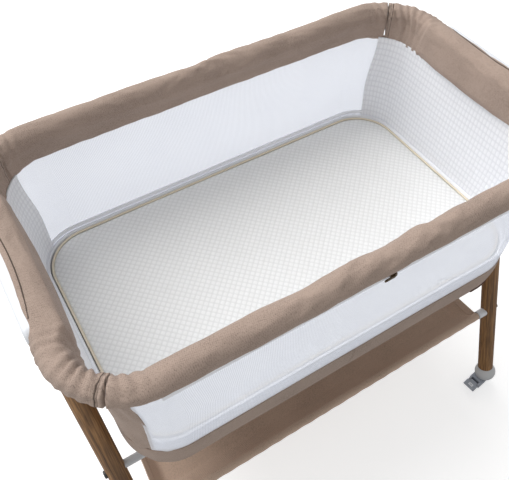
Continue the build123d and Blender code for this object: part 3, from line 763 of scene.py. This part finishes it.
tab_number = 0
for corner in ("front_left", "back_left", "front_right", "back_right"):
    spot, way = pedal_spot(corner)
    let_go()
    bpy.ops.mesh.primitive_cube_add(size=1.0, location=spot)
    tab = bpy.context.object
    tab.name = f"pedal_tab_{corner}"
    tab.scale = (0.0070, 0.0120, 0.0016)
    tab.rotation_euler = (0, math.radians(10.0), math.atan2(way.y, way.x))
    bpy.ops.object.transform_apply(location=True, rotation=True, scale=True)
    bpy.ops.object.mode_set(mode="EDIT")
    bpy.ops.mesh.select_all(action="DESELECT")
    bpy.ops.object.mode_set(mode="OBJECT")
    top = max(tab.data.polygons, key=lambda p: p.center.z)
    top.select = True
    bpy.ops.object.mode_set(mode="EDIT")
    bpy.ops.mesh.select_mode(type="FACE")
    bpy.ops.mesh.inset(thickness=0.0024, depth=0.0)
    bpy.ops.mesh.inset(thickness=0.0002, depth=-0.0007)
    bpy.ops.object.mode_set(mode="OBJECT")
    modified(tab, "BEVEL", width=0.0004, segments=2, limit_method="ANGLE")
    settle(tab, f"brake_{corner}")
    tab_number += 1
print(tab_number, "tabs")

# %% [markdown]
# ## Finishes
# Effects that several finishes share are node groups, built once: a heathered weave, a
# quilt's stitched squares, and the faint unevenness that moulded plastic and paint have.
# Each material then places a group with its own colours, and keeps its own shader.

# %% Node helpers
def srgb(red, green, blue):
    """A screen colour, 0 to 255, as the linear colour that nodes use."""
    def one(c):
        c /= 255
        return c / 12.92 if c <= 0.04045 else ((c + 0.055) / 1.055) ** 2.4
    return one(red), one(green), one(blue), 1.0


def put(tree, kind, **values):
    """A node with these settings, and input values given by name."""
    node = tree.nodes.new(kind)
    for name, value in values.items():
        label = name.replace("_", " ")
        if label in node.inputs:
            node.inputs[label].default_value = value
        else:
            setattr(node, name, value)
    return node


def colour_socket(node, name=None):
    """A Mix node's colour input of this name, or its colour output."""
    sockets = node.outputs if name is None else node.inputs
    return [s for s in sockets if s.type == "RGBA" and name in (None, s.name)][0]


def new_group(name, inputs, outputs):
    """A shader node group with named sockets, and its two end nodes."""
    group = bpy.data.node_groups.new(name, "ShaderNodeTree")
    for label, kind, value in inputs:
        socket = group.interface.new_socket(name=label, in_out="INPUT", socket_type=kind)
        if value is not None:
            socket.default_value = value
    for label, kind in outputs:
        group.interface.new_socket(name=label, in_out="OUTPUT", socket_type=kind)
    return group, group.nodes.new("NodeGroupInput"), group.nodes.new("NodeGroupOutput")

# %% Weave group
weave, gin, gout = new_group("heather weave", [
    ("Vector", "NodeSocketVector", None),
    ("Dark", "NodeSocketColor", (0.1, 0.08, 0.06, 1)),
    ("Light", "NodeSocketColor", (0.3, 0.25, 0.2, 1)),
    ("Threads", "NodeSocketFloat", 900.0),
], [("Color", "NodeSocketColor"), ("Height", "NodeSocketFloat")])
link = weave.links.new
flecks = put(weave, "ShaderNodeTexNoise", Scale=420.0, Detail=3.0, Roughness=0.7)
patches = put(weave, "ShaderNodeTexNoise", Scale=11.0, Detail=2.0)
scaled = put(weave, "ShaderNodeVectorMath", operation="SCALE")
threads = put(weave, "ShaderNodeTexChecker", Scale=1.0)
threads.inputs["Color1"].default_value = (1, 1, 1, 1)
threads.inputs["Color2"].default_value = (0, 0, 0, 1)
mixed = put(weave, "ShaderNodeMath", operation="MULTIPLY_ADD")
mixed.inputs[1].default_value = 0.22
ramp = put(weave, "ShaderNodeMapRange")
ramp.inputs["From Min"].default_value = 0.30
ramp.inputs["From Max"].default_value = 0.82
colour = put(weave, "ShaderNodeMix", data_type="RGBA")
shade = put(weave, "ShaderNodeMath", operation="MULTIPLY_ADD")
shade.inputs[1].default_value = 0.45
height = put(weave, "ShaderNodeMath", operation="ADD")
link(gin.outputs["Vector"], flecks.inputs["Vector"])
link(gin.outputs["Vector"], patches.inputs["Vector"])
link(gin.outputs["Vector"], scaled.inputs[0])
link(gin.outputs["Threads"], scaled.inputs["Scale"])
link(scaled.outputs["Vector"], threads.inputs["Vector"])
link(threads.outputs["Fac"], mixed.inputs[0])
link(flecks.outputs["Fac"], mixed.inputs[2])
link(patches.outputs["Fac"], shade.inputs[0])
link(mixed.outputs[0], shade.inputs[2])
link(shade.outputs[0], ramp.inputs["Value"])
link(ramp.outputs["Result"], colour.inputs["Factor"])
link(gin.outputs["Dark"], colour_socket(colour, "A"))
link(gin.outputs["Light"], colour_socket(colour, "B"))
link(threads.outputs["Fac"], height.inputs[0])
link(flecks.outputs["Fac"], height.inputs[1])
link(colour_socket(colour), gout.inputs["Color"])
link(height.outputs[0], gout.inputs["Height"])

# %% Quilt group
quilting, gin, gout = new_group("stitched squares", [
    ("Vector", "NodeSocketVector", None),
    ("Per Metre", "NodeSocketFloat", 80.0),
], [("Height", "NodeSocketFloat"), ("Valley Shade", "NodeSocketFloat")])
link = quilting.links.new
paced = put(quilting, "ShaderNodeVectorMath", operation="SCALE")
apart = put(quilting, "ShaderNodeSeparateXYZ")
link(gin.outputs["Vector"], paced.inputs[0])
link(gin.outputs["Per Metre"], paced.inputs["Scale"])
link(paced.outputs["Vector"], apart.inputs["Vector"])
puffs = []
for axis in ("X", "Y"):
    wave = put(quilting, "ShaderNodeMath", operation="MULTIPLY")
    wave.inputs[1].default_value = math.pi
    sine = put(quilting, "ShaderNodeMath", operation="SINE")
    size = put(quilting, "ShaderNodeMath", operation="ABSOLUTE")
    link(apart.outputs[axis], wave.inputs[0])
    link(wave.outputs[0], sine.inputs[0])
    link(sine.outputs[0], size.inputs[0])
    puffs.append(size)
both = put(quilting, "ShaderNodeMath", operation="MULTIPLY")
crown = put(quilting, "ShaderNodeMath", operation="POWER")
crown.inputs[1].default_value = 1.0
# The valley share is 1 along the stitches and 0 on the puffs; it places painted shade in the stitched
# creases.
valley_shade = put(quilting, "ShaderNodeMapRange")
valley_shade.inputs["From Min"].default_value = 0.55
valley_shade.inputs["From Max"].default_value = 0.0
link(puffs[0].outputs[0], both.inputs[0])
link(puffs[1].outputs[0], both.inputs[1])
link(both.outputs[0], crown.inputs[0])
link(crown.outputs[0], valley_shade.inputs["Value"])
link(crown.outputs[0], gout.inputs["Height"])
link(valley_shade.outputs["Result"], gout.inputs["Valley Shade"])

# %% Unevenness group
uneven, gin, gout = new_group("moulded unevenness", [
    ("Vector", "NodeSocketVector", None),
    ("Base", "NodeSocketColor", (0.8, 0.8, 0.8, 1)),
    ("Worn", "NodeSocketColor", (0.7, 0.7, 0.7, 1)),
    ("Rough Low", "NodeSocketFloat", 0.3),
    ("Rough High", "NodeSocketFloat", 0.5),
    ("Grain", "NodeSocketFloat", 350.0),
], [("Color", "NodeSocketColor"), ("Roughness", "NodeSocketFloat"), ("Height", "NodeSocketFloat")])
link = uneven.links.new
broad = put(uneven, "ShaderNodeTexNoise", Scale=14.0, Detail=4.0)
fine = put(uneven, "ShaderNodeTexNoise", Detail=2.0)
tone = put(uneven, "ShaderNodeMix", data_type="RGBA")
rough = put(uneven, "ShaderNodeMapRange")
link(gin.outputs["Vector"], broad.inputs["Vector"])
link(gin.outputs["Vector"], fine.inputs["Vector"])
link(gin.outputs["Grain"], fine.inputs["Scale"])
link(broad.outputs["Fac"], tone.inputs["Factor"])
link(gin.outputs["Base"], colour_socket(tone, "A"))
link(gin.outputs["Worn"], colour_socket(tone, "B"))
link(broad.outputs["Fac"], rough.inputs["Value"])
link(gin.outputs["Rough Low"], rough.inputs["To Min"])
link(gin.outputs["Rough High"], rough.inputs["To Max"])
link(colour_socket(tone), gout.inputs["Color"])
link(rough.outputs["Result"], gout.inputs["Roughness"])
link(fine.outputs["Fac"], gout.inputs["Height"])

# %% Material maker
def base_material(name, roughness, sheen=0.0, metallic=0.0):
    """A material with a Principled shader and object coordinates."""
    material = bpy.data.materials.new(name)
    material.use_nodes = True
    tree = material.node_tree
    shader = tree.nodes["Principled BSDF"]
    shader.inputs["Roughness"].default_value = roughness
    shader.inputs["Metallic"].default_value = metallic
    if sheen:
        shader.inputs["Sheen Weight"].default_value = sheen
        shader.inputs["Sheen Roughness"].default_value = 0.5
    where = tree.nodes.new("ShaderNodeTexCoord")
    return material, tree, shader, where


def bumped(tree, shader, height_socket, strength, distance):
    """Feed a height to the shader as bump."""
    bump = tree.nodes.new("ShaderNodeBump")
    bump.inputs["Strength"].default_value = strength
    bump.inputs["Distance"].default_value = distance
    tree.links.new(height_socket, bump.inputs["Height"])
    tree.links.new(bump.outputs["Normal"], shader.inputs["Normal"])


def cloth_material(name, dark, light, threads, strength, sheen=0.06):
    """A woven cloth from the weave group."""
    material, tree, shader, where = base_material(name, 0.92, sheen)
    woven = tree.nodes.new("ShaderNodeGroup")
    woven.node_tree = weave
    woven.inputs["Dark"].default_value = srgb(*dark)
    woven.inputs["Light"].default_value = srgb(*light)
    woven.inputs["Threads"].default_value = threads
    tree.links.new(where.outputs["Object"], woven.inputs["Vector"])
    tree.links.new(woven.outputs["Color"], shader.inputs["Base Color"])
    bumped(tree, shader, woven.outputs["Height"], strength, 0.0005)
    return material


def quilted_material(name, dark, light, valley_shade, per_metre, depth, on_uv=None, turned=0.0):
    """A quilted cloth: the weave over stitched squares, with painted shade in their valleys, on Object or
    UV coordinates.
    """
    material, tree, shader, where = base_material(name, 0.9, 0.2)
    link = tree.links.new
    woven = tree.nodes.new("ShaderNodeGroup")
    woven.node_tree = weave
    woven.inputs["Dark"].default_value = srgb(*dark)
    woven.inputs["Light"].default_value = srgb(*light)
    woven.inputs["Threads"].default_value = 760.0
    link(where.outputs["Object"], woven.inputs["Vector"])
    squares = tree.nodes.new("ShaderNodeGroup")
    squares.node_tree = quilting
    squares.inputs["Per Metre"].default_value = per_metre
    if on_uv:
        spread = put(tree, "ShaderNodeMapping")
        spread.inputs["Scale"].default_value = (on_uv[0], on_uv[1], 1.0)
        link(where.outputs["UV"], spread.inputs["Vector"])
        link(spread.outputs["Vector"], squares.inputs["Vector"])
    else:
        turn = put(tree, "ShaderNodeMapping")
        turn.inputs["Rotation"].default_value = (0.0, 0.0, turned)
        link(where.outputs["Object"], turn.inputs["Vector"])
        link(turn.outputs["Vector"], squares.inputs["Vector"])
    # In the stitched valleys the colour turns to the valley colour: painted shade in the creases of the
    # quilting.
    shade_in_valleys = put(tree, "ShaderNodeMix", data_type="RGBA")
    colour_socket(shade_in_valleys, "B").default_value = srgb(*valley_shade)
    link(squares.outputs["Valley Shade"], shade_in_valleys.inputs["Factor"])
    link(woven.outputs["Color"], colour_socket(shade_in_valleys, "A"))
    link(colour_socket(shade_in_valleys), shader.inputs["Base Color"])
    bumped(tree, shader, squares.outputs["Height"], 1.0, depth)
    return material


def moulded_material(name, base, worn, rough_low, rough_high, grain, strength=0.15, metallic=0.0):
    """Plastic, paint or metal from the unevenness group."""
    material, tree, shader, where = base_material(name, rough_high, 0.0, metallic)
    skin = tree.nodes.new("ShaderNodeGroup")
    skin.node_tree = uneven
    skin.inputs["Base"].default_value = srgb(*base)
    skin.inputs["Worn"].default_value = srgb(*worn)
    skin.inputs["Rough Low"].default_value = rough_low
    skin.inputs["Rough High"].default_value = rough_high
    skin.inputs["Grain"].default_value = grain
    tree.links.new(where.outputs["Object"], skin.inputs["Vector"])
    tree.links.new(skin.outputs["Color"], shader.inputs["Base Color"])
    tree.links.new(skin.outputs["Roughness"], shader.inputs["Roughness"])
    bumped(tree, shader, skin.outputs["Height"], strength, 0.0002)
    return material

# %% Fabrics
taupe = cloth_material("taupe heather cloth", (84, 70, 62), (170, 150, 137), 620.0, 0.45)
seam_dark = cloth_material("seam shadow", (58, 46, 40), (86, 72, 62), 620.0, 0.3, 0.1)
shelf_taupe = cloth_material("shelf cloth", (120, 99, 84), (204, 179, 160), 560.0, 0.35)
plain_white = cloth_material("white jersey", (226, 227, 232), (244, 245, 249), 760.0, 0.2)
# The third colour of each quilted cloth is painted shade for its stitched valleys.
quilt = quilted_material(
    "quilted white jersey", (226, 227, 231), (242, 243, 246), (226, 227, 231), 74.0, 0.0006,
    on_uv=(0.78, 0.256))
ticking = quilted_material(
    "mattress ticking", (213, 214, 214), (228, 228, 227), (214, 214, 213), 104.0, 0.0006,
    turned=math.radians(45.0))
beige = cloth_material("beige piping", (196, 182, 158), (226, 215, 194), 700.0, 0.4)
slit_shade_brown = cloth_material("painted slit shade", (58, 34, 26), (92, 60, 48), 700.0, 0.3, 0.1)
air_mesh = cloth_material("air mesh", (226, 230, 241), (246, 249, 255), 420.0, 0.4)

# %% [markdown]
# Air mesh is full of holes, so its alpha follows a fine grid. A low emission stands for
# the light that comes through the net from the other side.

# %% Let light through the air mesh
tree = air_mesh.node_tree
where = tree.nodes["Texture Coordinate"]
spread = put(tree, "ShaderNodeMapping")
spread.inputs["Scale"].default_value = (0.79, 0.245, 1.0)
holes = tree.nodes.new("ShaderNodeGroup")
holes.node_tree = quilting
holes.inputs["Per Metre"].default_value = 420.0
cover_share = put(tree, "ShaderNodeMapRange")
cover_share.inputs["To Min"].default_value = 0.70
cover_share.inputs["To Max"].default_value = 0.44
tree.links.new(where.outputs["UV"], spread.inputs["Vector"])
tree.links.new(spread.outputs["Vector"], holes.inputs["Vector"])
tree.links.new(holes.outputs["Height"], cover_share.inputs["Value"])
tree.links.new(cover_share.outputs["Result"], tree.nodes["Principled BSDF"].inputs["Alpha"])
tree.nodes["Principled BSDF"].inputs["Emission Color"].default_value = srgb(236, 240, 250)
tree.nodes["Principled BSDF"].inputs["Emission Strength"].default_value = 0.13

# %% Hard finishes
white_moulded = moulded_material(
    "white moulded plastic", (232, 234, 238), (222, 225, 230), 0.34, 0.48, 500.0)
collar_grey = moulded_material("pale grey collar", (206, 207, 208), (194, 195, 197), 0.35, 0.5, 500.0)
white_paint = moulded_material("white powder coat", (205, 206, 208), (188, 190, 193), 0.25, 0.38, 700.0)
caster_grey = moulded_material("caster grey plastic", (172, 178, 188), (150, 157, 168), 0.35, 0.5, 450.0)
wheel_grey = moulded_material("wheel nylon", (120, 124, 130), (98, 102, 108), 0.4, 0.6, 380.0)
plated = moulded_material("zinc plate", (196, 197, 200), (168, 170, 174), 0.22, 0.36, 600.0, 0.05, 1.0)
black_bolt = moulded_material("black bolt head", (42, 41, 42), (62, 60, 60), 0.3, 0.45, 500.0)
brass = moulded_material("antique brass", (128, 104, 70), (52, 42, 30), 0.25, 0.42, 900.0, 0.1, 1.0)
plywood = moulded_material("thin plywood", (214, 190, 150), (186, 158, 116), 0.6, 0.75, 120.0)

# %% [markdown]
# ## Walnut film
# The legs are steel tubes in a printed wood film. Its grain runs along the tube, so noise
# is stretched along Z, and a second, finer noise draws the dark pores.

# %% Walnut film
def walnut_film(name, lean):
    """Printed wood grain along a leg that leans by this angle."""
    material, tree, shader, where = base_material(name, 0.56)
    along = put(tree, "ShaderNodeMapping", vector_type="TEXTURE")
    along.inputs["Rotation"].default_value = (lean, 0.0, 0.0)
    along.inputs["Scale"].default_value = (1.0, 1.0, 26.0)
    bands = put(tree, "ShaderNodeTexNoise", Scale=210.0, Detail=5.0, Roughness=0.62, Distortion=0.4)
    pores = put(tree, "ShaderNodeTexNoise", Scale=900.0, Detail=2.0)
    grain = put(tree, "ShaderNodeValToRGB")
    grain.color_ramp.elements[0].position = 0.30
    grain.color_ramp.elements[0].color = srgb(76, 49, 22)
    grain.color_ramp.elements[1].position = 0.72
    grain.color_ramp.elements[1].color = srgb(178, 134, 84)
    middle_tone = grain.color_ramp.elements.new(0.52)
    middle_tone.color = srgb(136, 98, 56)
    pore_ramp = put(tree, "ShaderNodeValToRGB")
    pore_ramp.color_ramp.elements[0].position = 0.36
    pore_ramp.color_ramp.elements[0].color = (0.5, 0.45, 0.4, 1)
    pore_ramp.color_ramp.elements[1].position = 0.5
    darken = put(tree, "ShaderNodeMix", data_type="RGBA", blend_type="MULTIPLY")
    darken.inputs["Factor"].default_value = 0.6
    link = tree.links.new
    link(where.outputs["Object"], along.inputs["Vector"])
    link(along.outputs["Vector"], bands.inputs["Vector"])
    link(along.outputs["Vector"], pores.inputs["Vector"])
    link(bands.outputs["Fac"], grain.inputs["Fac"])
    link(pores.outputs["Fac"], pore_ramp.inputs["Fac"])
    link(grain.outputs["Color"], colour_socket(darken, "A"))
    link(pore_ramp.outputs["Color"], colour_socket(darken, "B"))
    link(colour_socket(darken), shader.inputs["Base Color"])
    bumped(tree, shader, pores.outputs["Fac"], 0.12, 0.0002)
    return material


LEAN = math.atan(0.375)
walnut_front = walnut_film("walnut film, front legs", -LEAN)
walnut_back = walnut_film("walnut film, back legs", LEAN)

# %% Give every piece its finish
def dress(thing, material):
    """One material over the whole piece."""
    thing.data.materials.clear()
    thing.data.materials.append(material)


FABRIC_OF = {
    "padded_cover": taupe, "seam_fold": taupe, "seam_shadow": seam_dark, "air_mesh": air_mesh,
    "end_cloth": taupe, "quilted_lining": quilt, "bottom_cloth": taupe,
    "pale_binding": plain_white, "pale_bumper": plain_white,
    "shelf_line": seam_dark, "hem_line": seam_dark,
    "corner_piping": slit_shade_brown, "mattress_pad": ticking, "mattress_piping": beige,
    "shelf_cloth": shelf_taupe, "rod_sleeve": shelf_taupe, "shelf_hem": shelf_taupe,
    "pedal_tab": white_moulded,
}
for thing in list(bpy.context.scene.objects):
    for start, material in FABRIC_OF.items():
        if thing.type == "MESH" and thing.name.startswith(start):
            dress(thing, material)

NODE_FINISH = [
    ("leg_front", walnut_front), ("leg_back", walnut_back),
    ("hub_screws", plated), ("hub_", white_moulded), ("rail_tube", plated),
    ("cross_tube", white_paint), ("shelf_rod_caps", white_moulded), ("shelf_rod", white_paint),
    ("tube_inserts", plated), ("frame_bolts", black_bolt), ("swivel_stems", plated),
    ("foot_collar", collar_grey), ("caster_hood", caster_grey), ("brake_lever", caster_grey),
    ("caster_wheel", wheel_grey), ("caster_pins", plated), ("lower_ring", plated),
    ("base_board", plywood), ("base_battens", plywood), ("support_clips", white_moulded),
    ("zip_chain", plain_white), ("zip_slider", brass), ("zip_pull", brass),
]
for name, node in frame["nodes"].items():
    for start, material in NODE_FINISH:
        if name.startswith(start):
            if node.material_slots:
                for slot in node.material_slots:
                    slot.material = material
            else:
                node.data.materials.append(material)
            break

# %% [markdown]
# ## Floor, light and camera
# A plain pale floor, a broad soft light from above and behind, and a weaker one from the
# left. The floor glows for the camera only, so it stays white without lighting the piece.
# The camera stands high at the front left and looks down into the bassinet.

# %% Floor
let_go()
bpy.ops.mesh.primitive_plane_add(size=30.0, location=(0, 0, -0.0004))
floor = bpy.context.object
floor.name = "floor"
bpy.ops.object.transform_apply(location=True)
floor_paint, tree, shader, where = base_material("pale floor", 0.9)
shader.inputs["Base Color"].default_value = (0.60, 0.60, 0.60, 1.0)
shader.inputs["Emission Color"].default_value = (1.0, 1.0, 1.0, 1.0)
seen = put(tree, "ShaderNodeLightPath")
glow = put(tree, "ShaderNodeMath", operation="MULTIPLY")
glow.inputs[1].default_value = 0.60
tree.links.new(seen.outputs["Is Camera Ray"], glow.inputs[0])
tree.links.new(glow.outputs[0], shader.inputs["Emission Strength"])
dress(floor, floor_paint)

# %% Lights
bpy.context.scene.view_settings.view_transform = "Standard"
world = bpy.data.worlds.new("studio")
bpy.context.scene.world = world
world.use_nodes = True
world.node_tree.nodes["Background"].inputs["Color"].default_value = (1.0, 1.0, 1.0, 1.0)
world.node_tree.nodes["Background"].inputs["Strength"].default_value = 0.46
for name, spot, spread, power in (
    ("sky_light", (-0.50, 1.15, 1.75), 55.0, 2.75),
    ("side_light", (-1.8, 0.5, 1.0), 60.0, 0.40),
):
    let_go()
    bpy.ops.object.light_add(type="SUN", location=spot)
    lamp = bpy.context.object
    lamp.name = name
    lamp.data.angle = math.radians(spread)
    lamp.data.energy = power
    lamp.rotation_euler = (-Vector(spot)).to_track_quat("-Z", "Y").to_euler()

# %% Camera
let_go()
bpy.ops.object.camera_add(location=(-0.4317, -0.6026, 1.4713))
camera = bpy.context.object
camera.rotation_euler = (math.radians(90 - 51.75), 0.0, math.radians(-31.35))
camera.data.sensor_width = 36.0
camera.data.lens = 42.6
camera.data.shift_x = 0.0069
camera.data.shift_y = 0.0061
camera.data.clip_start = 0.02
bpy.context.scene.camera = camera
